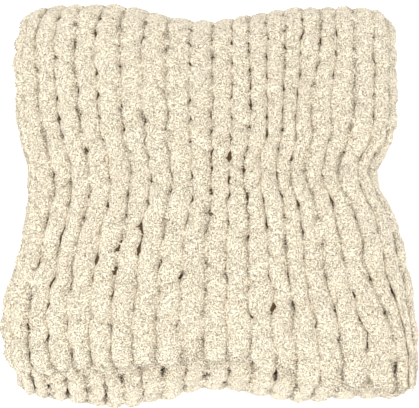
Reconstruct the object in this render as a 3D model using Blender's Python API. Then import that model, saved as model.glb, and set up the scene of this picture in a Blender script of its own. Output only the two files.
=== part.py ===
"""A chunky hand-knitted chenille blanket, folded for a shelf.

The knitting is one thick layer. It is folded in thirds across, like a letter, which gives a long strip
three layers thick. The strip is then folded back and forth in quarters. The solid is modelled in the same
order: the letter fold's section, the long straight strip, the ribs of the yarn, the back-and-forth folds,
and last the uneven outline that the tied bundle has taken.

Frame: metres, +Z up, the front (where the blanket's cast-off end lies) towards -Y, the origin on the
surface under the middle of the bundle.
"""

import math

import bmesh
import bpy

# --- the cloth -----------------------------------------------------------------------------------------
LAYER = 0.0158  # thickness of one layer of the knitting, pressed by those above it
SLIT = 0.0016  # air left between two layers
STRIPS = 4  # quarters that the long strip is folded into
STRIP_DEPTH = 3 * LAYER + 2 * SLIT  # one letter-folded strip
PITCH = STRIP_DEPTH + SLIT  # from one strip to the next, up the stack
STACK = STRIPS * STRIP_DEPTH + (STRIPS - 1) * SLIT
END_ROUNDING = [{"inset": 0.0012, "out": 0.0042}, {"inset": 0.0022, "out": 0.0026}]

# --- the folded bundle, before its outline is drawn in -------------------------------------------------
HALF_WIDTH = 0.200
HALF_RUN = 0.168  # the straight part of a strip reaches this far to the front and the back
TURN_LENGTH = 0.070  # length of strip that each back-and-forth fold takes up
TURN_SQUASH = 0.72  # a fold's depth over its half height
REACH = HALF_RUN + TURN_SQUASH * (PITCH + STRIP_DEPTH) / 2  # front and back of the folds
CAST_ON_REACH = 0.160  # how far to the front the cast-on end lies, under the bundle
TUCK = 0.0063  # the inner third stops this far short of the right edge's turn

# --- the yarn's ribs -----------------------------------------------------------------------------------
RIBS = 18  # on the flat of a strip, between its rounded edges
RIBS_A_SPAN = 2  # ribs between two lengthwise edges of the plain strip
POINTS_A_RIB = 3
VALLEY = 0.0052  # depth of the groove between two ribs
GROOVE_SHARE = 0.62  # of a rib's width that slopes into the grooves beside it
EDGE_VALLEY = 0.0036  # groove between the ribs that run round the strip's edges
STITCH_ROW = 0.0224
STITCH_DIP = 0.0028  # how much lower a rib is between two stitches
ROW_WOBBLE = {"share": 0.31, "turn": 2.4}  # rows of stitches aren't quite level from wale to wale
END_SCALLOP = 0.0035  # how far the ribs' round ends stand out along the cast-off edge

# --- how the solid is divided --------------------------------------------------------------------------
HIDDEN_STEPS = 5  # across a face between two layers
RIGHT_EDGE_STEPS = 8
LEFT_EDGE_STEPS = 6
TIP_STEPS = 4
RUN_STEPS = 6
TURN_STEPS = 6
TOP_CUTS = 4  # extra rows of points in each step on top, two rows to a stitch

# Half widths of the bundle on each side, seen from above. `y` is before the ends are drawn in.
SIDES = [
    {"y": -0.200, "left": 0.202, "right": 0.200},
    {"y": -0.165, "left": 0.210, "right": 0.203},
    {"y": -0.125, "left": 0.212, "right": 0.205},
    {"y": -0.080, "left": 0.203, "right": 0.202},
    {"y": -0.035, "left": 0.190, "right": 0.193},
    {"y": 0.015, "left": 0.187, "right": 0.171},
    {"y": 0.050, "left": 0.195, "right": 0.190},
    {"y": 0.100, "left": 0.204, "right": 0.197},
    {"y": 0.155, "left": 0.209, "right": 0.197},
    {"y": 0.200, "left": 0.205, "right": 0.195},
]

# Reach of the folds at the back, of those at the front, and of the blanket's cast-off end on top.
ENDS = [
    {"x": -0.200, "back": 0.200, "front": 0.205, "cast_off": 0.172},
    {"x": -0.180, "back": 0.206, "front": 0.207, "cast_off": 0.176},
    {"x": -0.140, "back": 0.207, "front": 0.210, "cast_off": 0.178},
    {"x": -0.095, "back": 0.203, "front": 0.214, "cast_off": 0.178},
    {"x": -0.050, "back": 0.193, "front": 0.207, "cast_off": 0.175},
    {"x": 0.000, "back": 0.187, "front": 0.195, "cast_off": 0.174},
    {"x": 0.045, "back": 0.193, "front": 0.200, "cast_off": 0.178},
    {"x": 0.090, "back": 0.200, "front": 0.208, "cast_off": 0.193},
    {"x": 0.140, "back": 0.203, "front": 0.205, "cast_off": 0.196},
    {"x": 0.180, "back": 0.202, "front": 0.205, "cast_off": 0.192},
    {"x": 0.200, "back": 0.197, "front": 0.205, "cast_off": 0.186},
]

# --- sag of the stack ----------------------------------------------------------------------------------
SIDE_DROOP = 0.075  # share of its height that the stack loses at the sides
END_DROOP = 0.055  # and at the front and the back
FOOT_SPREAD = 0.025  # share by which the lowest layers spread past the top ones
SWAY = 0.0030  # how far the layers are out of line
SWAY_X = {"turn": 9.5, "start": 0.7}
SWAY_Y = {"turn": 7.5, "start": 2.2}
UNEVEN = [  # slow waves in the stack's height
    {"across": 11, "along": 9, "start": 0.3, "share": 0.0088},
    {"across": 11, "along": -9, "start": 1.5, "share": 0.0088},
    {"across": 19, "along": -14, "start": 2.0, "share": 0.0105},
]
PRESS_DEPTH = 0.0045  # the tie's cross, pressed into the top layer
PRESS_HALF_WIDTH = 0.020
PRESS_X = 0.0
PRESS_Y = 0.020

# --- worked out from these -----------------------------------------------------------------------------
FLAT_LEFT = -HALF_WIDTH + LAYER + SLIT / 2  # where the doubled left edge starts to turn
FLAT_RIGHT = HALF_WIDTH - STRIP_DEPTH / 2  # where the tripled right edge starts to turn
RIB = (FLAT_RIGHT - FLAT_LEFT) / RIBS
RUN_STEP = 2 * HALF_RUN / RUN_STEPS
TURN_STEP = TURN_LENGTH / TURN_STEPS
STRIDE = 2 * HALF_RUN + TURN_LENGTH  # length of strip from one quarter to the next
CAST_ON = HALF_RUN - CAST_ON_REACH  # distances along the strip: its first end,
TOP_START = (STRIPS - 1) * STRIDE  # the start of the top quarter,
CAST_OFF = TOP_START + 2 * HALF_RUN  # and its last end

NEAR = 1e-5  # points closer than this are in line
COLOUR = (0.80, 0.69, 0.50, 1.0)


def smooth(t):
    """0 to 1 with level ends."""
    t = min(max(t, 0.0), 1.0)
    return t * t * (3 - 2 * t)


def read(table, key, at, column):
    """The column's value between two rows of a table, on a smooth curve through the rows."""
    if at <= table[0][key]:
        return table[0][column]
    if at >= table[-1][key]:
        return table[-1][column]
    n = next(i for i in range(len(table) - 1) if at <= table[i + 1][key])
    before, low, high, after = (table[min(max(i, 0), len(table) - 1)] for i in (n - 1, n, n + 1, n + 2))
    t = (at - low[key]) / (high[key] - low[key])
    a, b, c, d = before[column], low[column], high[column], after[column]
    return b + 0.5 * t * (c - a + t * (2 * a - 5 * b + 4 * c - d + t * (3 * (b - c) + d - a)))


def evenly(start, end, steps):
    """Values from start to end, both among them."""
    return [start + (end - start) * i / steps for i in range(steps + 1)]


def arc(centre, radius, start, end, steps, grooves=0):
    """Points round a folded edge in the section, ends left out, every other one sunk into a groove."""
    points = []
    for i in range(1, steps):
        turn = start + (end - start) * i / steps
        r = radius - (grooves if i % 2 == 0 else 0)
        points.append((centre[0] + r * math.cos(turn), centre[1] + r * math.sin(turn)))
    return points


def letter_fold_section():
    """Outline (x, height) of the strip: one layer folded in thirds, its middle third at the bottom.

    It runs along the layer's outer face from the free edge at the top left, round the right fold, back
    along the bottom, round the left fold and into the strip, then home along the layer's inner face.
    """
    top = STRIP_DEPTH / 2
    inner = LAYER / 2
    quarter = math.pi / 2
    edges = evenly(FLAT_LEFT, FLAT_RIGHT, RIBS // RIBS_A_SPAN)
    inside = evenly(FLAT_LEFT, FLAT_RIGHT, HIDDEN_STEPS)[1:-1]
    left_fold = (FLAT_LEFT, -(LAYER + SLIT) / 2)
    tuck = FLAT_RIGHT - TUCK

    outline = [(x, top) for x in edges]
    outline += arc((FLAT_RIGHT, 0), top, quarter, -quarter, RIGHT_EDGE_STEPS, EDGE_VALLEY)
    outline += [(x, -top) for x in reversed(edges)]
    outline += arc(left_fold, LAYER + SLIT / 2, -quarter, -3 * quarter, LEFT_EDGE_STEPS, EDGE_VALLEY)
    outline += [(x, inner) for x in [FLAT_LEFT] + inside]
    outline += [(tuck, inner)] + arc((tuck, 0), inner, quarter, -quarter, TIP_STEPS) + [(tuck, -inner)]
    outline += [(x, -inner) for x in reversed(inside)]
    outline += [(FLAT_LEFT, -inner), (FLAT_LEFT, -inner - SLIT)]
    outline += [(x, -inner - SLIT) for x in inside + [tuck, FLAT_RIGHT]]
    outline += arc((FLAT_RIGHT, 0), inner + SLIT, -quarter, quarter, TIP_STEPS)
    outline += [(x, inner + SLIT) for x in [FLAT_RIGHT, tuck] + inside[::-1] + [FLAT_LEFT]]
    outline += arc((FLAT_LEFT, top - inner), inner, -quarter, -3 * quarter, TIP_STEPS)
    return outline


def strip_steps():
    """Lengths of the steps along the strip, from its cast-on end to its cast-off end."""
    steps = [RUN_STEP] * RUN_STEPS + ([TURN_STEP] * TURN_STEPS + [RUN_STEP] * RUN_STEPS) * (STRIPS - 1)
    steps[0] -= CAST_ON
    return steps


def extrude_strip(bm):
    """The long straight strip: the section's face is extruded step by step along +Y."""
    outline = [bm.verts.new((x, CAST_ON, height)) for x, height in letter_fold_section()]
    first = face = bm.faces.new(outline)
    for step in strip_steps():
        out = bmesh.ops.extrude_face_region(bm, geom=[face])["geom"]
        moved = [g for g in out if isinstance(g, bmesh.types.BMVert)]
        bmesh.ops.translate(bm, vec=(0, step, 0), verts=moved)
        if face is not first:
            bmesh.ops.delete(bm, geom=[face], context="FACES_ONLY")
        face = next(g for g in out if isinstance(g, bmesh.types.BMFace))
    bmesh.ops.recalc_face_normals(bm, faces=bm.faces)


def round_ends(bm):
    """The cast-on and cast-off ends: each end face is inset twice and pushed out, like a worn edge."""
    for step in END_ROUNDING:
        ends = [f for f in bm.faces if len(f.verts) > 4]
        bmesh.ops.inset_individual(
            bm, faces=ends, thickness=step["inset"], depth=step["out"], use_even_offset=True
        )


def outer_share(co):
    """1 on the outer face of the strip's top or bottom layer, 0 from that layer's middle inwards."""
    beside = FLAT_LEFT - NEAR < co.x < FLAT_RIGHT + NEAR
    depth = STRIP_DEPTH / 2 - abs(co.z)
    return max(0.0, 1 - depth / (LAYER / 2)) if beside else 0.0


def shown(y, outer):
    """How fully the strip's outer face shows at this distance along it: 1 on a fold and on the top.

    It fades over the first and the last step of a fold, where one strip starts to cover another.
    """
    if outer > 0 and y > TOP_START - TURN_STEP:
        return 1.0
    for n in range(STRIPS - 1):
        into = y - n * STRIDE - 2 * HALF_RUN
        if (n % 2 == 0) == (outer > 0) and 0 < into < TURN_LENGTH:
            return min(1.0, into / TURN_STEP, (TURN_LENGTH - into) / TURN_STEP)
    return 0.0


def refine_shown_faces(bm):
    """More points where ribs and stitches show: across the folds and the top, and along the top."""
    across = []
    for edge in bm.edges:
        a, b = (v.co for v in edge.verts)
        outer = 1 if a.z > 0 else -1
        level = abs(a.y - b.y) < NEAR and abs(a.z - b.z) < NEAR
        if level and outer_share(a) > 0 and outer_share(b) > 0:
            if shown(a.y - NEAR, outer) or shown(a.y + NEAR, outer):
                across.append(edge)
    bmesh.ops.subdivide_edges(bm, edges=across, cuts=RIBS_A_SPAN * POINTS_A_RIB - 1, use_grid_fill=True)
    along = []
    for edge in bm.edges:
        a, b = (v.co for v in edge.verts)
        on_face = min(a.z, b.z) > STRIP_DEPTH / 2 - NEAR and outer_share(a) > 0 and outer_share(b) > 0
        if on_face and abs(a.x - b.x) < NEAR and TOP_START - NEAR < min(a.y, b.y) < CAST_OFF - NEAR:
            along.append(edge)
    bmesh.ops.subdivide_edges(bm, edges=along, cuts=TOP_CUTS, use_grid_fill=True)


def rib_depth(x, y):
    """Depth under the plain strip's face: grooves between the ribs, and dips between the stitches."""
    rib = (x - FLAT_LEFT) / RIB
    ridge = 2 * abs(rib - round(rib))  # 0 in a groove, 1 along the middle of a rib
    groove = VALLEY * max(0.0, 1 - ridge / GROOVE_SHARE)
    if y < TOP_START:
        return groove
    wale = math.floor(rib / 2)  # two ribs, one stitch wide
    row = y / STITCH_ROW + ROW_WOBBLE["share"] * math.sin(ROW_WOBBLE["turn"] * wale)
    between = (1 + math.cos(2 * math.pi * row)) / 2
    return groove + STITCH_DIP * between * min(1.0, 2 * ridge)


def carve_ribs(bm):
    """Ribs and stitches, raised in the points of the faces that show."""
    for v in bm.verts:
        outer = 1 if v.co.z > 0 else -1
        share = shown(v.co.y, outer) * outer_share(v.co)
        v.co.z -= outer * share * rib_depth(v.co.x, v.co.y)


def pull_to_cast_off(x, along):
    """The top strip's free end is slanted: the strip is let out or held back towards that end."""
    share = smooth((along - TOP_START - HALF_RUN) / HALF_RUN)
    reach = REACH * read(ENDS, "x", x, "cast_off") / read(ENDS, "x", x, "front")
    rounding = sum(step["out"] for step in END_ROUNDING)
    scallop = END_SCALLOP * abs(math.sin(math.pi * (x - FLAT_LEFT) / RIB))
    return along + share * (reach - rounding - HALF_RUN + scallop)


def fold_back_and_forth(x, along, height):
    """Where a point of the straight strip goes when the strip is folded in quarters."""
    n = min(int(along / STRIDE), STRIPS - 1)
    into = along - n * STRIDE
    to_back = 1 if n % 2 == 0 else -1
    up = -to_back  # the letter fold's top faces down on the first strip
    level = STRIP_DEPTH / 2 + n * PITCH
    if into <= 2 * HALF_RUN or n == STRIPS - 1:
        return x, to_back * (into - HALF_RUN), level + up * height
    turn = math.pi * (into - 2 * HALF_RUN) / TURN_LENGTH
    radius = PITCH / 2 - up * height
    y = to_back * (HALF_RUN + TURN_SQUASH * radius * math.sin(turn))
    return x, y, level + PITCH / 2 - radius * math.cos(turn)


def height_share(x, y):
    """Height of the stack at a place, over its even height."""
    waves = sum(w["share"] * math.sin(w["across"] * x + w["along"] * y + w["start"]) for w in UNEVEN)
    return 1 - SIDE_DROOP * (x / HALF_WIDTH) ** 2 - END_DROOP * (y / REACH) ** 2 + waves


def press(x, y):
    """Depth of the cross that the tie has pressed into the top."""
    off = min(abs(x - PRESS_X), abs(y - PRESS_Y))
    return PRESS_DEPTH * math.exp(-((off / PRESS_HALF_WIDTH) ** 2))


def settle(x, y, z):
    """The outline and the sag of the tied bundle, from its even folds."""
    up = z / STACK
    half = read(SIDES, "y", y, "left" if x < 0 else "right")
    reach = read(ENDS, "x", x, "front" if y < 0 else "back")
    spread = 1 + FOOT_SPREAD * (1 - up) ** 2
    settled_x = x * half / HALF_WIDTH * spread + SWAY * math.sin(SWAY_X["turn"] * up + SWAY_X["start"])
    settled_y = y * reach / REACH + SWAY * math.sin(SWAY_Y["turn"] * up + SWAY_Y["start"])
    in_top_layer = smooth((z - STACK + 2 * LAYER) / (1.5 * LAYER))
    return settled_x, settled_y, z * height_share(x, y) - press(settled_x, settled_y) * in_top_layer


def centre_over_origin(bm):
    """Moves the bundle sideways until the origin is under the middle of its box."""
    for axis in (0, 1):
        reach = [v.co[axis] for v in bm.verts]
        middle = (min(reach) + max(reach)) / 2
        for v in bm.verts:
            v.co[axis] -= middle


def knitted_blanket():
    """The mesh of the whole blanket."""
    bm = bmesh.new()
    extrude_strip(bm)
    round_ends(bm)
    refine_shown_faces(bm)
    bmesh.ops.triangulate(bm, faces=[f for f in bm.faces if len(f.verts) > 4])
    carve_ribs(bm)
    for v in bm.verts:
        x, along, height = v.co
        v.co = settle(*fold_back_and_forth(x, pull_to_cast_off(x, along), height))
    bmesh.ops.reverse_faces(bm, faces=bm.faces)  # the folding laid the first strip on its face
    centre_over_origin(bm)
    mesh = bpy.data.meshes.new("blanket")
    bm.to_mesh(mesh)
    bm.free()
    return mesh


def chenille():
    """Matt cream chenille yarn."""
    material = bpy.data.materials.new("chenille_yarn")
    material.use_nodes = True
    surface = material.node_tree.nodes["Principled BSDF"]
    surface.inputs["Base Color"].default_value = COLOUR
    surface.inputs["Roughness"].default_value = 0.95
    surface.inputs["Metallic"].default_value = 0.0
    return material


def main():
    for old in list(bpy.context.scene.objects):
        bpy.data.objects.remove(old, do_unlink=True)
    collection = bpy.data.collections.new("chunky_knit_blanket")
    bpy.context.scene.collection.children.link(collection)
    blanket = bpy.data.objects.new("blanket", knitted_blanket())
    blanket.data.materials.append(chenille())
    collection.objects.link(blanket)


main()
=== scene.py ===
"""The looks of the folded chunky knit blanket: its yarn, stitch by stitch, and the pile on the yarn.

The knitting is laid out in the cloth's own measures: ribs across it, rows along it, and metres out of its
face. Each course of yarn starts as a flat grid, which is rolled round the path that yarn takes through
stocking stitch. The cloth is then folded in thirds across and in quarters along, like the solid it dresses.
Only knitting that shows is made. The layers inside are the solid's own, drawn in behind the yarn, and
coloured all over with the deepest painted shade.

Frame: metres, +Z up, the front towards -Y.
"""

import math

import bpy
import numpy as np
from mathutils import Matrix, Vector
from mathutils.bvhtree import BVHTree


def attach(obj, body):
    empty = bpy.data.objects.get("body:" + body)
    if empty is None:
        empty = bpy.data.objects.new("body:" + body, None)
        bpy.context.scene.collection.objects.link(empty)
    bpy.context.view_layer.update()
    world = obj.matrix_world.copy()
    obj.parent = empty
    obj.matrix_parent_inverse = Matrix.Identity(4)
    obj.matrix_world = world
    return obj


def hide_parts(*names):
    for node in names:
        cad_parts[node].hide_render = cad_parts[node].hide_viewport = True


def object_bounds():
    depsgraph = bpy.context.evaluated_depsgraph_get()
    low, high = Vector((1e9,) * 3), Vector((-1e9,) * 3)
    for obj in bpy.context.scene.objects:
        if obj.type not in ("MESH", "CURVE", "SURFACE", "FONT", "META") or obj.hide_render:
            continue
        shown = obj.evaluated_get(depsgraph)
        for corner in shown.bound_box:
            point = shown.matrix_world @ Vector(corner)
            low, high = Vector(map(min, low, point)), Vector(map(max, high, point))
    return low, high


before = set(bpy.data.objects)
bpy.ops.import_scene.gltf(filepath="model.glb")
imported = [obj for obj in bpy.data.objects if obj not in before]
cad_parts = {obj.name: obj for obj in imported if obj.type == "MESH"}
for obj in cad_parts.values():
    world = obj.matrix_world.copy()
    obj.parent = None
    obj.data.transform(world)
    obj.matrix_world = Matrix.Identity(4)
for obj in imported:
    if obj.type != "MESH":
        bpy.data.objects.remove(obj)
CAD_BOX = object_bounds()

# --- the cloth and its folds, as in the solid ----------------------------------------------------------
LAYER = 0.0158  # thickness of one layer of the knitting
SLIT = 0.0016  # air left between two layers
STRIPS = 4  # quarters that the long strip is folded into
STRIP_DEPTH = 3 * LAYER + 2 * SLIT  # one letter-folded strip
PITCH = STRIP_DEPTH + SLIT  # from one strip to the next, up the stack
STACK = STRIPS * STRIP_DEPTH + (STRIPS - 1) * SLIT
END_ROUNDING = 0.0068  # how far the cloth's rounded ends stand out past its last full section

HALF_WIDTH = 0.200
HALF_RUN = 0.168  # the straight part of a strip reaches this far to the front and the back
TURN_LENGTH = 0.070  # length of strip that each back-and-forth fold takes up
TURN_SQUASH = 0.72  # a fold's depth over its half height
REACH = HALF_RUN + TURN_SQUASH * (PITCH + STRIP_DEPTH) / 2  # front and back of the folds
BOTTOM_END_REACH = 0.160  # how far to the front the cloth's bottom end lies, under the bundle

FLAT_LEFT = -HALF_WIDTH + LAYER + SLIT / 2  # the strip is flat from here
FLAT_RIGHT = HALF_WIDTH - STRIP_DEPTH / 2  # to here
RIGHT_FOLD = LAYER + SLIT  # radius of the cloth's middle in the tripled right edge
LEFT_FOLD = (LAYER + SLIT) / 2  # and in the doubled left edge
LEFT_FOLD_LEAST = 0.0015  # the yarn inside that edge is rolled no tighter than this radius

# Places along the unfolded strip.
STRIDE = 2 * HALF_RUN + TURN_LENGTH  # from the start of one straight run to the start of the next
BOTTOM_END = HALF_RUN - BOTTOM_END_REACH
TOP_START = (STRIPS - 1) * STRIDE
TOP_END = TOP_START + 2 * HALF_RUN
CURL = LAYER / 2  # the knitting's two ends curl under, round their own back surface
CURL_LEAST = 0.0002  # and their back surface itself is rolled to this radius
TOP_CURL_AT = TOP_END + END_ROUNDING - LAYER
BOTTOM_CURL_AT = BOTTOM_END - END_ROUNDING + LAYER

# The last loops of the top end reach this far past the solid's end, and further in the layers below.
LONGER = 0.012
LONGER_RIBS = (18, 22, 40, 43)
LONGER_SHARES = (1.0, 1.15, 1.15, 1.3)
CENTRE = (0.0023, 0.0024)  # the bundle is moved by this to stand over the origin

# Half widths of the bundle on each side, seen from above. This table and the next differ from the solid's by
# a few millimetres, because round yarn and its pile stand out from the outline of a plain solid.
SIDES = [
    {"y": -0.200, "left": 0.195, "right": 0.206},
    {"y": -0.165, "left": 0.206, "right": 0.205},
    {"y": -0.125, "left": 0.208, "right": 0.203},
    {"y": -0.080, "left": 0.198, "right": 0.197},
    {"y": -0.035, "left": 0.190, "right": 0.189},
    {"y": 0.015, "left": 0.188, "right": 0.169},
    {"y": 0.050, "left": 0.198, "right": 0.187},
    {"y": 0.100, "left": 0.205, "right": 0.194},
    {"y": 0.155, "left": 0.208, "right": 0.195},
    {"y": 0.200, "left": 0.202, "right": 0.195},
]

# Reach of the folds at the back, of those at the front, and of the blanket's free end on top.
ENDS = [
    {"x": -0.200, "back": 0.197, "front": 0.201, "top_end": 0.172},
    {"x": -0.180, "back": 0.202, "front": 0.204, "top_end": 0.176},
    {"x": -0.140, "back": 0.204, "front": 0.210, "top_end": 0.181},
    {"x": -0.095, "back": 0.203, "front": 0.214, "top_end": 0.181},
    {"x": -0.050, "back": 0.191, "front": 0.207, "top_end": 0.173},
    {"x": 0.000, "back": 0.183, "front": 0.195, "top_end": 0.170},
    {"x": 0.045, "back": 0.191, "front": 0.200, "top_end": 0.171},
    {"x": 0.090, "back": 0.197, "front": 0.208, "top_end": 0.193},
    {"x": 0.140, "back": 0.201, "front": 0.205, "top_end": 0.198},
    {"x": 0.180, "back": 0.201, "front": 0.205, "top_end": 0.197},
    {"x": 0.200, "back": 0.197, "front": 0.205, "top_end": 0.186},
]

SIDE_DROOP = 0.075  # share of its height that the stack loses at the sides
END_DROOP = 0.055  # and at the front and the back
FOOT_SPREAD = 0.025  # share by which the lowest layers spread past the top ones
SWAY = 0.0030  # how far the layers are out of line
SWAY_X = {"turn": 9.5, "start": 0.7}
SWAY_Y = {"turn": 7.5, "start": 2.2}
UNEVEN = [  # slow waves in the stack's height
    {"across": 11, "along": 9, "start": 0.3, "share": 0.0088},
    {"across": 11, "along": -9, "start": 1.5, "share": 0.0088},
    {"across": 19, "along": -14, "start": 2.0, "share": 0.0105},
]

# The ribs bunch up and spread, and fan out to the front: how far each is shifted to the right, in ribs, at
# five places along a run. These places are given in half lengths of the run.
BUNCHING_AT = {"front": -1.0, "near": -0.4, "middle": 0.0, "far": 0.5, "back": 1.0}
BUNCHING = [
    {"rib": 0, "back": 0.00, "far": 0.00, "middle": 0.00, "near": 0.00, "front": 0.00},
    {"rib": 1, "back": -0.32, "far": -0.24, "middle": 0.00, "near": -0.22, "front": -0.18},
    {"rib": 3, "back": -0.41, "far": -0.29, "middle": 0.00, "near": -0.38, "front": -0.14},
    {"rib": 6, "back": -0.02, "far": 0.00, "middle": 0.20, "near": -0.20, "front": -0.28},
    {"rib": 9, "back": 0.45, "far": 0.42, "middle": 0.42, "near": 0.08, "front": 0.00},
    {"rib": 12, "back": 0.27, "far": 0.30, "middle": 0.26, "near": 0.20, "front": 0.34},
    {"rib": 15, "back": 0.12, "far": -0.36, "middle": -0.03, "near": -0.09, "front": 0.48},
    {"rib": 17, "back": -0.10, "far": -0.22, "middle": -0.05, "near": 0.00, "front": 1.00},
    {"rib": 18, "back": 0.00, "far": 0.00, "middle": 0.00, "near": 0.00, "front": 0.66},
    {"rib": 19.2, "back": 0.00, "far": 0.00, "middle": 0.00, "near": 0.00, "front": 0.00},
]

# The top layer is pressed in along a cross.
PRESS_DEPTH = 0.0045
PRESS_HALF_WIDTH = 0.020
PRESS_X = 0.0
PRESS_Y = 0.020
RESTS_AT = 0.0003  # the lowest yarn is pressed flat here

# --- the knitting --------------------------------------------------------------------------------------
FLAT_RIBS = 18  # ribs on the flat of a third, between its folds
RIGHT_RIBS = 4  # ribs round the tripled edge
LEFT_RIBS = 3  # ribs round the doubled edge
RIB = (FLAT_RIGHT - FLAT_LEFT) / FLAT_RIBS
ROW = 0.0224  # length of one row of stitches
TURN_ROWS = 5.3  # rows over the outside of a back-and-forth fold, which is longer than its middle

LOOP_REACH = 0.95  # a loop's foot and head lie this many rows from its middle
LEAN = 0.32  # how far the legs stand in over the loop's foot and head, in ribs
LEG_RISE = 0.0034  # legs lie out of the face, heads and feet behind it
LAP = 0.0014  # a leg's head end laps over the foot end of the next
LEG_HALF_WIDTH = 0.0098
LEG_HALF_THICKNESS = 0.0080
NECK = -0.02  # share by which the yarn is narrower at the middle of a head or foot, before it varies
PATH_CENTRE = LAYER / 2 - LEG_HALF_THICKNESS - LEG_RISE  # the legs' outer side is the layer's face
PATH_STEP = 0.01  # the yarn's direction is taken from its middle this far ahead and behind, in ribs
BACK_SOFTENS = -0.0045  # behind this depth the yarn flattens against the next layer
HEADS = -1  # heads point to the blanket's bottom end, so to the back on the top quarter
LUMP = {"size": 0.055, "along": 3.3, "around": 3}  # in the yarn: share of its size, number a rib, a turn
SMALL_LUMP = {"size": 0.6, "along": 1.7}  # over those, with these shares of their size and number
# Each leg differs by up to this much from the plain stitch: "plump" and "neck" are shares of the yarn's size,
# "shift" is in rows, "lean" in ribs and "rise" in metres.
LEG_UNEVEN = {"plump": 0.11, "shift": 0.20, "neck": 0.20, "lean": 0.05, "rise": 0.0018}
TUCK = 0.0050  # at the cloth's two ends the last loops are tucked in behind the ribs' noses
TUCK_STRAIGHTENS = 0.8  # and there the legs lose this share of their lean
OUTER_CLUSTER = 0.30  # points round the yarn are closer together on its outer side

# Stretches of knitting that show. Ribs and rows are counted in the cloth; in a panel with a fold, rows are
# counted from where that fold starts, because its outer face is longer.
TOP_FOLD = STRIPS - 2  # the back-and-forth folds are counted from 0 at the bottom
LAST_ROW = (TOP_CURL_AT + 0.5 * math.pi * CURL) / ROW - LOOP_REACH - 0.5
FIRST_ROW = (BOTTOM_CURL_AT - 0.5 * math.pi * CURL) / ROW + LOOP_REACH - 0.5
LONGER_OVER = 6  # rows that take up this extra length
TOP_ROWS = TURN_ROWS + LAST_ROW - TOP_START / ROW
M_START = FLAT_RIBS + RIGHT_RIBS  # first rib of the middle third
M_END = M_START + FLAT_RIBS
L_START = M_END + LEFT_RIBS  # first rib of the inner third
ALL_ROWS = (FIRST_ROW, LAST_ROW)
TOP_END_ROWS = (LAST_ROW - 2, LAST_ROW)
BOTTOM_END_ROWS = (FIRST_ROW, FIRST_ROW + 2)

# What a panel has unless its own row says otherwise. "fold" is the back-and-forth fold that it goes round,
# and "tucks" the end of the cloth where its last loops are tucked in. "fine" sets how many points its yarn
# gets, and "width" how wide the yarn is, as a share. "uneven" is how uneven the stitches are in the first row
# and in the last, as a share of LEG_UNEVEN.
PLAIN_PANEL = {"fold": None, "tucks": None, "fine": 0.8, "width": 1.0, "uneven": (1, 1)}
PANELS = [
    {
        "name": "top_knitting",
        "ribs": (0, 18),
        "rows": (-1.0, TOP_ROWS),
        "fold": TOP_FOLD,
        "tucks": "top",
        "fine": 0.95,
        "uneven": (0.7, 1.4),
    },
    {"name": "right_edge_knitting", "ribs": (18, 22), "rows": ALL_ROWS, "tucks": "top", "fine": 0.6},
    {"name": "left_edge_knitting", "ribs": (40, 44), "rows": ALL_ROWS, "tucks": "top", "fine": 0.6},
    {"name": "free_edge_knitting", "ribs": (0, 2), "rows": (18.0, 51.0)},
    {"name": "back_fold_knitting", "ribs": (0, 18), "rows": (-1.0, 6.0), "fold": 0},
    {"name": "front_fold_knitting", "ribs": (22, 40), "rows": (-2.5, 6.5), "fold": 1, "width": 0.85},
    {"name": "top_end_middle", "ribs": (22, 40), "rows": TOP_END_ROWS, "tucks": "top"},
    {"name": "top_end_inner", "ribs": (43, 61), "rows": TOP_END_ROWS, "tucks": "top"},
    {"name": "bottom_end_middle", "ribs": (22, 40), "rows": BOTTOM_END_ROWS, "tucks": "bottom"},
    {"name": "bottom_end_inner", "ribs": (43, 61), "rows": BOTTOM_END_ROWS, "tucks": "bottom"},
    {
        "name": "underside_knitting",
        "ribs": (0, 18),
        "rows": (FIRST_ROW, 13.0),
        "tucks": "bottom",
        "fine": 0.5,
        "width": 1.30,
    },
]
KNITTING_SEED = 11  # each panel draws its unevenness from a seed of its own, from this one on
STEPS_A_RIB = 14  # along the yarn, at fineness 1
POINTS_ROUND = 16  # round the yarn, at fineness 1
BACK_SHOWS = {"rows": 1.8, "ribs": 2.5}  # this far in from the cloth's ends and its free edge
SEAM_MERGE = 1e-6  # points of the yarn that are closer than this are one

# A yarn runs up and down along the cloth's free left edge, where the rows turn. It starts and ends this many
# rows past the first row and the last.
SELVEDGE = {
    "rib": -0.04,
    "out": -0.0010,
    "radius": 0.0062,
    "lumps": 0.10,
    "sway": 0.05,
    "before_first": 0.3,
    "after_last": 1.3,
    "steps_a_row": 8,
    "round": 12,
}

# --- the finish, with shade painted into the yarn's colour ---------------------------------------------
PILE_COLOURS = {"warm": (0.87, 0.77, 0.585, 1), "pale": (0.90, 0.82, 0.655, 1)}
# painted shade: the dark of the crevices between the curls stands in for the shadow that falls there
PAINTED_CREVICE_SHADE = (0.09, 0.038, 0.002, 1)
# painted shade: the brown deep in the knitting and in its holes stands in for the shadow there
PAINTED_DEEP_SHADE = (0.09, 0.045, 0.014, 1)
DARKENS = {"from": 0.34, "to": 0.70}  # how deep in the layer the painted shade starts, and is darkest
RAGGED = 0.2  # a crevice's painted shade counts as lying deeper by this much, which makes the edges of the shade in the holes ragged
CURLS = {"a_metre": 620, "detail": 0.0, "distortion": 0.5}
# Crevices are short lines round the low places of the curls' noise, with painted shade in them: where it is
# near this level, darkest up to "core" from it, and gone at "width". All three are in the noise's own values.
CREVICE = {"level": 0.42, "core": 0.005, "width": 0.073}
TONES = {"a_metre": 30, "detail": 3.0}
BUMP = 0.0006  # height of the curls
FINISH = {"Roughness": 0.9, "Specular IOR Level": 0.2, "Sheen Weight": 0.25, "Sheen Roughness": 0.5}

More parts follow.
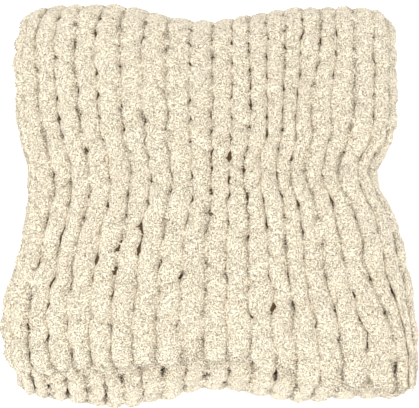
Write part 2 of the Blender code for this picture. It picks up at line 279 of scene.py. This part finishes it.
# --- the pile ------------------------------------------------------------------------------------------
# Tufts stand where rays first meet the yarn: "looks" is the way that the rays run, "spacing" how far apart.
PILE = [
    {"name": "pile_on_top", "looks": (0, 0, -1), "spacing": 0.0022},
    {"name": "pile_in_front", "looks": (0, 1, 0), "spacing": 0.0027},
    {"name": "pile_at_back", "looks": (0, -1, 0), "spacing": 0.0027},
    {"name": "pile_on_left", "looks": (1, 0, 0), "spacing": 0.0027},
    {"name": "pile_on_right", "looks": (-1, 0, 0), "spacing": 0.0027},
]
PILE_SEED = 41  # each side of the pile draws from a seed of its own, from this one on
TUFT = {"length": 0.0036, "width": 0.0018, "height": 0.0011, "uneven": 0.35}
TUFTS_APART = 4  # tufts of size 1 are repeated this far apart, and are then sized and laid in place
TUFT_ROOT = 0.0005  # how deep a tuft's foot is set in the yarn
IN_GAPS = {"from": 0.2, "to": 0.5, "taller": 1.5}  # between the ribs, at these depths, the tufts stand up
TUFT_DEPTH = 0.7  # tufts catch more light than the yarn under them: they count as less deep, so get less painted shade
DEEPEST_TUFT = 0.75  # no tufts deeper than this share of a layer
FACES_ENOUGH = 0.3  # rays set tufts on faces turned to them by this much, as a cosine
RAY_CLEARS = 0.001  # a ray that leaves a face starts this far off it

# --- the layers inside ---------------------------------------------------------------------------------
CORE_DRAWN_IN = 0.0045  # the solid's faces are moved in by this
CORE_WIDTH = 0.945  # and its width and depth are made this share of what they were
CORE_ENDS_SHORT = 0.020  # the layers inside stop this far before the knitting's two ends
CORE_ENDS_MOVE = 0.95  # what lies past that is moved back by this share of the way, so it keeps its shape
CORE_MERGE = 1e-5  # points of the solid's mesh that are closer than this are one

# --- the camera and the studio -------------------------------------------------------------------------
# In degrees, metres and metres, and the lens and the sensor in millimetres.
CAMERA = {"elevation": 78, "distance": 1.10, "looks_at_height": 0.10, "lens": 87.86, "sensor": 36}
DAYLIGHT = 1.37  # strength of the even white light from all round
LAMP = {"place": (-0.5, -1.1, 1.5), "size": 1.6, "power": 10}
FLOOR = {"size": 8, "colour": (0.9, 0.9, 0.9, 1), "glow": 0.2}
WHITE = (1, 1, 1, 1)


def read(table, key, at, column):
    """The column's values between the rows of a table, on a smooth curve through the rows."""
    rows = np.array([row[key] for row in table])
    values = np.array([row[column] for row in table])
    at = np.clip(at, rows[0], rows[-1])
    n = np.clip(np.searchsorted(rows, at) - 1, 0, len(rows) - 2)
    t = (at - rows[n]) / (rows[n + 1] - rows[n])
    a, b, c, d = (values[np.clip(n + i, 0, len(rows) - 1)] for i in (-1, 0, 1, 2))
    return b + 0.5 * t * (c - a + t * (2 * a - 5 * b + 4 * c - d + t * (3 * (b - c) + d - a)))


def smooth(t):
    """0 below 0, 1 above 1, and eased between."""
    t = np.clip(t, 0.0, 1.0)
    return t * t * (3 - 2 * t)


def letter_fold(rib, out):
    """Where a point of the cloth lies in the strip's section: (x, height)."""
    right_turn = math.pi / 2 - math.pi * (rib - FLAT_RIBS) / RIGHT_RIBS
    left_turn = -math.pi / 2 - math.pi * (rib - M_END) / LEFT_RIBS
    thirds = [rib < FLAT_RIBS, rib < M_START, rib < M_END, rib < L_START]
    left_radius = LEFT_FOLD + np.maximum(out, LEFT_FOLD_LEAST - LEFT_FOLD)
    x = np.select(
        thirds,
        [
            FLAT_LEFT + rib * RIB,
            FLAT_RIGHT + (RIGHT_FOLD + out) * np.cos(right_turn),
            FLAT_RIGHT - (rib - M_START) * RIB,
            FLAT_LEFT + left_radius * np.cos(left_turn),
        ],
        FLAT_LEFT + (rib - L_START) * RIB,
    )
    height = np.select(
        thirds,
        [
            RIGHT_FOLD + out,
            (RIGHT_FOLD + out) * np.sin(right_turn),
            -(RIGHT_FOLD + out),
            -LEFT_FOLD + left_radius * np.sin(left_turn),
        ],
        out,
    )
    return x, height


def longer(rib):
    """How far the top end reaches past the solid's, at this rib."""
    return LONGER * np.interp(rib, LONGER_RIBS, LONGER_SHARES)


def curl_under(rib, along, out):
    """The cloth's two ends turn down round their own back surface, which makes a nose of each rib."""
    at_top = along > TOP_END / 2
    top_curl_at = TOP_CURL_AT + longer(rib)
    past = np.maximum(np.where(at_top, along - top_curl_at, BOTTOM_CURL_AT - along), 0)
    turn = math.pi / 2 * np.tanh(past / CURL / (math.pi / 2))
    radius = np.maximum(out + LAYER / 2, CURL_LEAST)
    reach = radius * np.sin(turn)
    curled = np.where(at_top, top_curl_at + reach, BOTTOM_CURL_AT - reach)
    curled_out = radius * np.cos(turn) - LAYER / 2
    return np.where(past > 0, curled, along), np.where(past > 0, curled_out, out)


def pull_to_top_end(x, along):
    """The front half of the top quarter is drawn out, or in, so that the cloth ends where its table says."""
    share = smooth((along - TOP_START - HALF_RUN) / HALF_RUN)
    reach = REACH * read(ENDS, "x", x, "top_end") / read(ENDS, "x", x, "front")
    return along + share * (reach - END_ROUNDING - HALF_RUN)


def fold_back_and_forth(x, along, height):
    """The long strip laid in quarters, one over the other: runs are straight, and turns are round."""
    n = np.minimum(np.maximum(np.floor(along / STRIDE), 0), STRIPS - 1)
    into = along - n * STRIDE
    to_back = np.where(n % 2 == 0, 1, -1)
    up = -to_back
    level = STRIP_DEPTH / 2 + n * PITCH
    straight = (into <= 2 * HALF_RUN) | (n == STRIPS - 1)
    turn = math.pi * (into - 2 * HALF_RUN) / TURN_LENGTH
    radius = PITCH / 2 - up * height
    y = np.where(straight, into - HALF_RUN, HALF_RUN + TURN_SQUASH * radius * np.sin(turn))
    z = np.where(straight, level + up * height, level + PITCH / 2 - radius * np.cos(turn))
    return x, to_back * y, z


def bunch_ribs(x, y):
    """Where each rib lies from side to side, between the places that the table gives."""
    rib = (x - FLAT_LEFT) / RIB
    at = np.clip(y / HALF_RUN, -1, 1)
    levels = list(BUNCHING_AT)
    shift = read(BUNCHING, "rib", rib, levels[0])
    for before, after in zip(levels, levels[1:]):
        share = smooth((at - BUNCHING_AT[before]) / (BUNCHING_AT[after] - BUNCHING_AT[before]))
        shift = shift + share * (read(BUNCHING, "rib", rib, after) - read(BUNCHING, "rib", rib, before))
    return x + shift * RIB


def share_of_height(x, y):
    """How much of the stack's height is left where it droops to its sides and ends."""
    share = 1 - SIDE_DROOP * (x / HALF_WIDTH) ** 2 - END_DROOP * (y / REACH) ** 2
    for wave in UNEVEN:
        share = share + wave["share"] * np.sin(wave["across"] * x + wave["along"] * y + wave["start"])
    return share


def settle(x, y, z):
    """The neat stack as it lies: drawn in, drooping, swaying and pressed, and moved to its place."""
    x = bunch_ribs(x, y)
    up = z / STACK
    half = np.where(x < 0, read(SIDES, "y", y, "left"), read(SIDES, "y", y, "right"))
    reach = np.where(y < 0, read(ENDS, "x", x, "front"), read(ENDS, "x", x, "back"))
    spread = 1 + FOOT_SPREAD * (1 - up) ** 2
    settled_x = x * half / HALF_WIDTH * spread + SWAY * np.sin(SWAY_X["turn"] * up + SWAY_X["start"])
    settled_y = y * reach / REACH + SWAY * np.sin(SWAY_Y["turn"] * up + SWAY_Y["start"])
    off = np.minimum(abs(settled_x - PRESS_X), abs(settled_y - PRESS_Y))
    press = PRESS_DEPTH * np.exp(-((off / PRESS_HALF_WIDTH) ** 2))
    in_top_layer = smooth((z - STACK + 2 * LAYER) / (1.5 * LAYER))  # fades out two layers down
    settled_z = np.maximum(z * share_of_height(x, y) - press * in_top_layer, RESTS_AT)
    return np.stack([settled_x + CENTRE[0], settled_y + CENTRE[1], settled_z], axis=1)


def fold_cloth(rib, row, out, fold=None):
    """Places in the bundle of points given by rib, row and distance out of the cloth's middle."""
    if fold is None:
        along = row * ROW + longer(rib) * smooth((row - LAST_ROW + LONGER_OVER) / LONGER_OVER)
    else:
        past = np.maximum(row - TURN_ROWS, 0)
        inside = np.clip(row, 0, TURN_ROWS) * TURN_LENGTH / TURN_ROWS
        along = fold * STRIDE + 2 * HALF_RUN + np.minimum(row, 0) * ROW + inside + past * ROW
        along = along + longer(rib) * smooth((row - TOP_ROWS + LONGER_OVER) / LONGER_OVER)
    along, out = curl_under(rib, along, out)
    x, height = letter_fold(rib, out)
    return settle(*fold_back_and_forth(x, pull_to_top_end(x, along), height))


def per_leg(values, rib, course):
    """A value for each leg of each loop, eased from leg to leg along the yarn."""
    beside = rib - 0.5
    leg = np.floor(beside).astype(int)
    ease = smooth(beside - leg)
    count = values.shape[0]
    return values[leg % count, course] * (1 - ease) + values[(leg + 1) % count, course] * ease


def yarn_path(rib, course, start, uneven):
    """The middle of the yarn: (ribs across, rows along, metres out) for each place along each course.

    `uneven` holds what each leg, and each course, has of its own.
    """
    to_head = -np.cos(math.pi * rib)
    tucked = uneven["tucked"][course] * ((1 + np.sign(uneven["tucked"][course]) * HEADS * to_head) / 2) ** 2
    lean = (LEAN + per_leg(uneven["lean"], rib, course)) * (1 - TUCK_STRAIGHTENS * abs(tucked))
    across = rib + lean * np.sin(2 * math.pi * rib)
    along = start + 0.5 + HEADS * LOOP_REACH * to_head + per_leg(uneven["shift"], rib, course)
    rise = LEG_RISE + per_leg(uneven["rise"], rib, course)
    out = PATH_CENTRE - rise * np.cos(2 * math.pi * rib) + LAP * to_head - TUCK * abs(tucked)
    return across, along, out


def roll_round_path(rib, around, course, start, uneven):
    """The yarn's surface: each ring of points stands square to the path, wide across and flatter out."""
    across, along, out = yarn_path(rib, course, start, uneven)
    ahead = yarn_path(rib + PATH_STEP, course, start, uneven)
    before = yarn_path(rib - PATH_STEP, course, start, uneven)
    run = np.stack([(a - b) * size for a, b, size in zip(ahead, before, (RIB, ROW, 1.0))])
    run /= np.linalg.norm(run, axis=0)
    side = np.stack([run[1], -run[0], np.zeros_like(rib)])
    side /= np.linalg.norm(side, axis=0)
    outward = np.cross(side, run, axis=0)
    outward *= np.sign(outward[2])

    turn = around - OUTER_CLUSTER * np.sin(around)
    neck = NECK + per_leg(uneven["neck"], rib, course)
    plump = 1 + per_leg(uneven["plump"], rib, course)
    narrow = (1 - neck * np.cos(math.pi * rib) ** 2) * plump
    wave = 2 * math.pi * LUMP["along"] * rib + uneven["lumps"][0, course]
    small_lumps = SMALL_LUMP["size"] * np.sin(SMALL_LUMP["along"] * wave - around)
    narrow *= 1 + LUMP["size"] * (np.sin(wave + LUMP["around"] * around) + small_lumps)
    section = side * LEG_HALF_WIDTH * narrow * uneven["width"] * np.sin(turn)
    section += outward * LEG_HALF_THICKNESS * narrow * np.cos(turn)
    out = out + section[2]
    behind = np.maximum(BACK_SOFTENS - out, 0)
    room = BACK_SOFTENS + LAYER / 2
    out = np.where(behind > 0, BACK_SOFTENS - room * np.tanh(behind / room), out)
    return across + section[0] / RIB, along + section[1] / ROW, out


def courses_of(panel, seed):
    """A panel of knitting: a grid as long as one course, repeated for each row, rolled and folded."""
    first, last = panel["ribs"]
    start, end = panel["rows"]
    rows = round(end - start) + 1
    bpy.ops.object.select_all(action="DESELECT")
    bpy.ops.mesh.primitive_grid_add(
        x_subdivisions=round(STEPS_A_RIB * panel["fine"]) * (last - first),
        y_subdivisions=round(POINTS_ROUND * (1 + panel["fine"]) / 2),
        size=1,
    )
    piece = newest(panel["name"])
    repeat(piece, rows, (0, 0, 1))

    grid = vertices_of(piece)
    rib = first + (grid[:, 0] + 0.5) * (last - first)
    around = 2 * math.pi * (grid[:, 1] + 0.5) - math.pi
    course = np.round(grid[:, 2]).astype(int)
    begins = start + course * (end - start) / (rows - 1)
    random = np.random.default_rng(seed)
    legs = last - first + 2
    grows = np.linspace(*panel["uneven"], rows)
    uneven = {key: grows * size * random.uniform(-1, 1, (legs, rows)) for key, size in LEG_UNEVEN.items()}
    uneven["lumps"] = random.uniform(0, 2 * math.pi, (1, rows))
    uneven["width"] = panel["width"]
    uneven["tucked"] = np.zeros(rows)  # 1 tucks in the loops' top ends, and -1 their bottom ends
    uneven["tucked"][-1] = 1.0 if panel["tucks"] == "top" else 0.0
    uneven["tucked"][0] = -1.0 if panel["tucks"] == "bottom" else 0.0
    rib, row, out = roll_round_path(rib, around, course, begins, uneven)
    place_vertices(piece, fold_cloth(rib, row, out, panel["fold"]))
    add_values(piece, "sunk", how_sunk(rib, row, out, panel["fold"]))
    close_tubes(piece)
    return piece


def how_sunk(rib, row, out, fold):
    """Depth in the layer, from 0 at its face to 1 at its back; the material paints shade by it.

    Near the cloth's borders its back shows, and counts as a face.
    """
    top_end = {TOP_FOLD: TOP_ROWS, None: LAST_ROW}.get(fold, math.inf) + 0.5 + LOOP_REACH
    bottom_end = -math.inf if fold is not None else FIRST_ROW + 0.5 - LOOP_REACH
    from_end = np.minimum(top_end - row, row - bottom_end) / BACK_SHOWS["rows"]
    from_side = (rib + 0.5) / BACK_SHOWS["ribs"]
    behind = smooth(-out / (LAYER / 4)) * (1 - smooth(np.minimum(from_end, from_side)))
    return np.clip((LAYER / 2 - out) / LAYER, 0, 1) * (1 - behind)


def edge_yarn():
    """The lumpy yarn of the free left edge, from the bottom end to the top end."""
    start = FIRST_ROW - SELVEDGE["before_first"]
    rows = LAST_ROW + SELVEDGE["after_last"] - start
    bpy.ops.object.select_all(action="DESELECT")
    bpy.ops.mesh.primitive_grid_add(
        x_subdivisions=round(rows * SELVEDGE["steps_a_row"]), y_subdivisions=SELVEDGE["round"], size=1
    )
    piece = newest("edge_yarn")
    grid = vertices_of(piece)
    row = start + rows * (grid[:, 0] + 0.5)
    around = 2 * math.pi * (grid[:, 1] + 0.5) - math.pi
    wave = 2 * math.pi * row
    radius = SELVEDGE["radius"] * (1 + SELVEDGE["lumps"] * np.cos(wave))
    rib = SELVEDGE["rib"] + SELVEDGE["sway"] * np.sin(wave) + radius / RIB * np.sin(around)
    out = SELVEDGE["out"] + radius * np.cos(around)
    place_vertices(piece, fold_cloth(rib, row, out))
    add_values(piece, "sunk", how_sunk(rib, row, out, None))
    close_tubes(piece)
    return piece


def vertices_of(piece):
    """The places of a piece's vertices, as rows of three numbers."""
    co = np.zeros(len(piece.data.vertices) * 3, np.float32)
    piece.data.vertices.foreach_get("co", co)
    return co.reshape(-1, 3).astype(float)


def place_vertices(piece, places):
    """Moves a piece's vertices to these places."""
    piece.data.vertices.foreach_set("co", places.astype(np.float32).ravel())
    piece.data.update()


def newest(name):
    """The piece that was just added, which gets its name here."""
    piece = bpy.context.object
    piece.name = name
    piece.data.name = name
    return piece


def repeat(piece, count, apart):
    """Copies a piece's mesh in a row, each copy this far from the one before."""
    copies = piece.modifiers.new("repeat", "ARRAY")
    copies.count = count
    copies.use_relative_offset = False
    copies.use_constant_offset = True
    copies.constant_offset_displace = apart
    bpy.ops.object.modifier_apply(modifier="repeat")


def close_tubes(piece):
    """Each course's long seam is merged, its two ends are closed, and its faces are pointed outwards."""
    bpy.ops.object.select_all(action="DESELECT")
    piece.select_set(True)
    bpy.context.view_layer.objects.active = piece
    bpy.ops.object.mode_set(mode="EDIT")
    bpy.ops.mesh.select_all(action="SELECT")
    bpy.ops.mesh.remove_doubles(threshold=SEAM_MERGE)
    bpy.ops.mesh.fill_holes(sides=0)  # 0 is any number
    bpy.ops.mesh.select_all(action="SELECT")
    bpy.ops.mesh.normals_make_consistent(inside=False)
    bpy.ops.object.mode_set(mode="OBJECT")
    bpy.ops.object.shade_smooth()


def new_group(name, inputs, outputs):
    """An empty shader node group with its sockets; gives the tree and its two end nodes."""
    tree = bpy.data.node_groups.new(name, "ShaderNodeTree")
    for socket, kind, value in inputs:
        made = tree.interface.new_socket(socket, in_out="INPUT", socket_type=kind)
        if value is not None:
            made.default_value = value
    for socket, kind in outputs:
        tree.interface.new_socket(socket, in_out="OUTPUT", socket_type=kind)
    return tree, tree.nodes.new("NodeGroupInput"), tree.nodes.new("NodeGroupOutput")


def chenille_grain():
    """The curly pile seen close: light curls with painted shade in the crevices between them, and a slow
    change of tone.

    The curls rise to full height over twice the width of a crevice.
    """
    tree, start, end = new_group(
        "chenille_grain",
        [("Vector", "NodeSocketVector", None), ("Curls", "NodeSocketFloat", CURLS["a_metre"])],
        [("Crevice", "NodeSocketFloat"), ("Height", "NodeSocketFloat"), ("Tone", "NodeSocketFloat")],
    )
    nodes, links = tree.nodes, tree.links
    curls = nodes.new("ShaderNodeTexNoise")
    curls.inputs["Detail"].default_value = CURLS["detail"]
    curls.inputs["Distortion"].default_value = CURLS["distortion"]
    links.new(start.outputs["Vector"], curls.inputs["Vector"])
    links.new(start.outputs["Curls"], curls.inputs["Scale"])
    level = nodes.new("ShaderNodeMath")
    level.operation = "SUBTRACT"
    level.inputs[1].default_value = CREVICE["level"]
    links.new(curls.outputs["Fac"], level.inputs[0])
    ridges = nodes.new("ShaderNodeMath")
    ridges.operation = "ABSOLUTE"
    links.new(level.outputs[0], ridges.inputs[0])
    crevice = nodes.new("ShaderNodeMapRange")
    crevice.inputs["From Min"].default_value = CREVICE["core"]
    crevice.inputs["From Max"].default_value = CREVICE["width"]
    crevice.inputs["To Min"].default_value = 1.0
    crevice.inputs["To Max"].default_value = 0.0
    links.new(ridges.outputs[0], crevice.inputs["Value"])
    height = nodes.new("ShaderNodeMapRange")
    height.inputs["From Max"].default_value = 2 * CREVICE["width"]
    links.new(ridges.outputs[0], height.inputs["Value"])
    tone = nodes.new("ShaderNodeTexNoise")
    tone.inputs["Scale"].default_value = TONES["a_metre"]
    tone.inputs["Detail"].default_value = TONES["detail"]
    links.new(start.outputs["Vector"], tone.inputs["Vector"])
    links.new(crevice.outputs[0], end.inputs["Crevice"])
    links.new(height.outputs[0], end.inputs["Height"])
    links.new(tone.outputs["Fac"], end.inputs["Tone"])
    return tree


def shade_by_depth():
    """The yarn's colour: cream pile, with painted shade: brown deep in the knitting, and dark in the crevices
    in both.

    Crevices count as lying deeper than the pile beside them, so the brown painted shade starts at them, with
    a ragged edge.
    """
    tree, start, end = new_group(
        "shade_by_depth",
        [
            ("Pile", "NodeSocketColor", None),
            ("Dark", "NodeSocketColor", None),
            ("Deep", "NodeSocketColor", None),
            ("Crevice", "NodeSocketFloat", 0.0),
            ("Sunk", "NodeSocketFloat", 0.0),
        ],
        [("Color", "NodeSocketColor")],
    )
    nodes, links = tree.nodes, tree.links
    ragged = nodes.new("ShaderNodeMath")
    ragged.operation = "MULTIPLY_ADD"
    ragged.inputs[1].default_value = RAGGED
    links.new(start.outputs["Crevice"], ragged.inputs[0])
    links.new(start.outputs["Sunk"], ragged.inputs[2])
    sunk = nodes.new("ShaderNodeMapRange")
    sunk.interpolation_type = "SMOOTHSTEP"
    sunk.inputs["From Min"].default_value = DARKENS["from"]
    sunk.inputs["From Max"].default_value = DARKENS["to"]
    links.new(ragged.outputs[0], sunk.inputs["Value"])
    deep = nodes.new("ShaderNodeMix")
    deep.data_type = "RGBA"
    links.new(sunk.outputs[0], deep.inputs["Factor"])
    links.new(start.outputs["Pile"], deep.inputs["A"])
    links.new(start.outputs["Deep"], deep.inputs["B"])
    dark = nodes.new("ShaderNodeMix")
    dark.data_type = "RGBA"
    links.new(start.outputs["Crevice"], dark.inputs["Factor"])
    links.new(deep.outputs["Result"], dark.inputs["A"])
    links.new(start.outputs["Dark"], dark.inputs["B"])
    links.new(dark.outputs["Result"], end.inputs["Color"])
    return tree


def chenille(grain_group, shade_group):
    """The yarn's one material: matt pile with a soft sheen."""
    material = bpy.data.materials.new("chenille_yarn")
    material.use_nodes = True
    nodes, links = material.node_tree.nodes, material.node_tree.links
    surface = nodes["Principled BSDF"]
    for socket, value in FINISH.items():
        surface.inputs[socket].default_value = value
    place = nodes.new("ShaderNodeTexCoord")
    grain = nodes.new("ShaderNodeGroup")
    grain.node_tree = grain_group
    links.new(place.outputs["Object"], grain.inputs["Vector"])
    pile = nodes.new("ShaderNodeMix")
    pile.data_type = "RGBA"
    pile.inputs["A"].default_value = PILE_COLOURS["warm"]
    pile.inputs["B"].default_value = PILE_COLOURS["pale"]
    links.new(grain.outputs["Tone"], pile.inputs["Factor"])
    sunk = nodes.new("ShaderNodeAttribute")
    sunk.attribute_name = "sunk"
    shade = nodes.new("ShaderNodeGroup")
    shade.node_tree = shade_group
    # painted shade: dark in the crevices between the curls, and brown deep in the knitting
    shade.inputs["Dark"].default_value = PAINTED_CREVICE_SHADE
    shade.inputs["Deep"].default_value = PAINTED_DEEP_SHADE
    links.new(pile.outputs["Result"], shade.inputs["Pile"])
    links.new(grain.outputs["Crevice"], shade.inputs["Crevice"])
    links.new(sunk.outputs["Fac"], shade.inputs["Sunk"])
    links.new(shade.outputs["Color"], surface.inputs["Base Color"])
    bumps = nodes.new("ShaderNodeBump")
    bumps.inputs["Distance"].default_value = BUMP
    links.new(grain.outputs["Height"], bumps.inputs["Height"])
    links.new(bumps.outputs["Normal"], surface.inputs["Normal"])
    return material


def yarn_that_shows(pieces):
    """All the knitting's faces in one search tree, with how deep in the layer each face lies."""
    corners, faces, depths = [], [], []
    start = 0
    for piece in pieces:
        mesh = piece.data
        corners.append(vertices_of(piece))
        depth = np.zeros(len(mesh.vertices), np.float32)
        mesh.attributes["sunk"].data.foreach_get("value", depth)
        for face in mesh.polygons:
            faces.append([start + corner for corner in face.vertices])
            depths.append(depth[face.vertices[0]])
        start += len(mesh.vertices)
    tree = BVHTree.FromPolygons(np.concatenate(corners).tolist(), faces)
    return tree, depths


def other_side_sees(tree, place, normal, axis):
    """Whether the rays along the axis that this face is most turned to reach it too. None come from below."""
    if axis == 2 and normal.z < 0:
        return False
    outward = Vector((0, 0, 0))
    outward[axis] = math.copysign(1, normal[axis])
    return tree.ray_cast(place + RAY_CLEARS * normal, outward)[0] is None


def tuft_places(tree, depths, looks, spacing, random):
    """Where parallel rays meet the yarn: place, outward normal and depth of each tuft."""
    looks = Vector(looks)
    axis = max(range(3), key=lambda i: abs(looks[i]))
    across, upright = (i for i in range(3) if i != axis)
    low, high = CAD_BOX
    spans = tuple(slice(low[i], high[i], spacing) for i in (across, upright))
    grid = np.mgrid[spans].reshape(2, -1).T
    grid += random.uniform(-0.5, 0.5, grid.shape) * spacing
    found = []
    for a, b in grid:
        origin = Vector((0, 0, 0))
        origin[across], origin[upright] = a, b
        origin -= looks
        place, normal, face, _ = tree.ray_cast(origin, looks)
        if place is None or depths[face] > DEEPEST_TUFT:
            continue
        if normal.dot(looks) > 0:
            normal = -normal
        steepest = max(range(3), key=lambda i: abs(normal[i]))
        turned_away = -normal.dot(looks) < FACES_ENOUGH
        if steepest != axis and (turned_away or other_side_sees(tree, place, normal, steepest)):
            continue
        found.append((*place, *normal, depths[face]))
    found = np.array(found)
    return found[:, :3], found[:, 3:6], found[:, 6]


def tufts(row, tree, depths, seed):
    """One side's pile: a small pointed tuft, repeated for each place and laid there at random."""
    random = np.random.default_rng(seed)
    places, normals, sunk = tuft_places(tree, depths, row["looks"], row["spacing"], random)
    count = len(places)
    bpy.ops.object.select_all(action="DESELECT")
    bpy.ops.mesh.primitive_cone_add(vertices=4, radius1=0.5, radius2=0, depth=1)
    piece = newest(row["name"])
    repeat(piece, count, (TUFTS_APART, 0, 0))

    shape = vertices_of(piece)
    which = np.round(shape[:, 0] / TUFTS_APART).astype(int)
    shape[:, 0] -= TUFTS_APART * which
    lies = np.cross(random.normal(size=(count, 3)), normals)
    lies /= np.linalg.norm(lies, axis=1, keepdims=True)
    beside = np.cross(normals, lies)
    size = 1 + TUFT["uneven"] * random.uniform(-1, 1, (count, 3))
    along = shape[:, :1] * TUFT["length"] * size[which, :1]
    across = shape[:, 1:2] * TUFT["width"] * size[which, 1:2]
    stands_up = smooth((sunk - IN_GAPS["from"]) / (IN_GAPS["to"] - IN_GAPS["from"]))
    height = TUFT["height"] * (1 + IN_GAPS["taller"] * stands_up) * size[:, 2]
    rise = (shape[:, 2:] + 0.5) * height[which, None] - TUFT_ROOT
    laid = places[which] + along * lies[which] + across * beside[which]
    place_vertices(piece, laid + rise * normals[which])
    # the tufts get painted shade by the depth of the yarn under them, less of it than the yarn
    add_values(piece, "sunk", TUFT_DEPTH * sunk[which])
    bpy.ops.object.shade_smooth()
    return piece


def add_values(piece, name, values):
    """Keeps a value for each vertex, which the material reads by its name."""
    attribute = piece.data.attributes.new(name, "FLOAT", "POINT")
    attribute.data.foreach_set("value", values.astype(np.float32))


def inner_layers():
    """The solid's own folded layers, drawn in so that they lie behind the yarn."""
    bpy.ops.object.select_all(action="DESELECT")
    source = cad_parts["blanket"]
    piece = bpy.data.objects.new("inner_layers", source.data.copy())
    bpy.context.scene.collection.objects.link(piece)
    piece.select_set(True)
    bpy.context.view_layer.objects.active = piece
    bpy.ops.object.mode_set(mode="EDIT")
    bpy.ops.mesh.select_all(action="SELECT")
    bpy.ops.mesh.remove_doubles(threshold=CORE_MERGE)
    bpy.ops.mesh.normals_make_consistent(inside=False)
    bpy.ops.transform.shrink_fatten(value=-CORE_DRAWN_IN)
    bpy.ops.object.mode_set(mode="OBJECT")
    places = vertices_of(piece)
    x, y, z = places[:, 0] - CENTRE[0], places[:, 1] - CENTRE[1], places[:, 2]
    top_limit = CORE_ENDS_SHORT - read(ENDS, "x", x, "top_end")
    bottom_limit = CORE_ENDS_SHORT - BOTTOM_END_REACH * read(ENDS, "x", x, "front") / REACH
    in_stack = z / share_of_height(x, y)
    in_top_strip = in_stack > (STRIPS - 1) * PITCH - SLIT / 2
    in_bottom_strip = in_stack < PITCH - SLIT / 2
    limit = np.select([in_top_strip, in_bottom_strip], [top_limit, bottom_limit], -math.inf)
    places[:, 1] += CORE_ENDS_MOVE * np.maximum(limit - y, 0)
    places[:, :2] = CENTRE + CORE_WIDTH * (places[:, :2] - CENTRE)
    place_vertices(piece, places)
    return piece


def camera():
    """The camera looks down on the bundle from the front."""
    elevation = math.radians(CAMERA["elevation"])
    data = bpy.data.cameras.new("camera")
    data.lens = CAMERA["lens"]
    data.sensor_width = CAMERA["sensor"]
    eye = bpy.data.objects.new("camera", data)
    y = CENTRE[1] - CAMERA["distance"] * math.cos(elevation)
    z = CAMERA["looks_at_height"] + CAMERA["distance"] * math.sin(elevation)
    eye.location = (CENTRE[0], y, z)
    eye.rotation_euler = (math.pi / 2 - elevation, 0, 0)
    bpy.context.scene.collection.objects.link(eye)
    bpy.context.scene.camera = eye


def studio():
    """Even daylight, one soft lamp and a pale floor."""
    bpy.context.scene.view_settings.view_transform = "Standard"
    world = bpy.data.worlds.new("studio")
    bpy.context.scene.world = world
    world.use_nodes = True
    world.node_tree.nodes["Background"].inputs["Color"].default_value = WHITE
    world.node_tree.nodes["Background"].inputs["Strength"].default_value = DAYLIGHT
    light = bpy.data.lights.new("soft_top", "AREA")
    light.energy = LAMP["power"]
    light.size = LAMP["size"]
    lamp = bpy.data.objects.new("soft_top", light)
    lamp.location = LAMP["place"]
    direction = -lamp.location.normalized()
    lamp.rotation_euler = direction.to_track_quat("-Z", "Y").to_euler()
    bpy.context.scene.collection.objects.link(lamp)
    bpy.ops.mesh.primitive_plane_add(size=FLOOR["size"])
    floor = bpy.context.object
    floor.name = "floor"
    material = bpy.data.materials.new("pale_floor")
    material.use_nodes = True
    paint = material.node_tree.nodes["Principled BSDF"]
    paint.inputs["Base Color"].default_value = FLOOR["colour"]
    paint.inputs["Emission Color"].default_value = WHITE
    paint.inputs["Emission Strength"].default_value = FLOOR["glow"]
    floor.data.materials.append(material)


def main():
    """Makes every piece, gives each the yarn's material and the root body, hides the solid, and sets up the
    studio.
    """
    grain_group = chenille_grain()
    shade_group = shade_by_depth()
    yarn = chenille(grain_group, shade_group)
    knitting = [courses_of(PLAIN_PANEL | panel, KNITTING_SEED + i) for i, panel in enumerate(PANELS)]
    knitting.append(edge_yarn())
    tree, depths = yarn_that_shows(knitting)
    pile = [tufts(row, tree, depths, PILE_SEED + i) for i, row in enumerate(PILE)]
    inside = inner_layers()
    # the layers inside show only through the holes: they get the deepest painted shade all over
    add_values(inside, "sunk", np.ones(len(inside.data.vertices)))
    pieces = knitting + pile + [inside]
    for piece in pieces:
        piece.data.materials.clear()
        piece.data.materials.append(yarn)
        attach(piece, "root")
        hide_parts("blanket")
    camera()
    studio()


main()
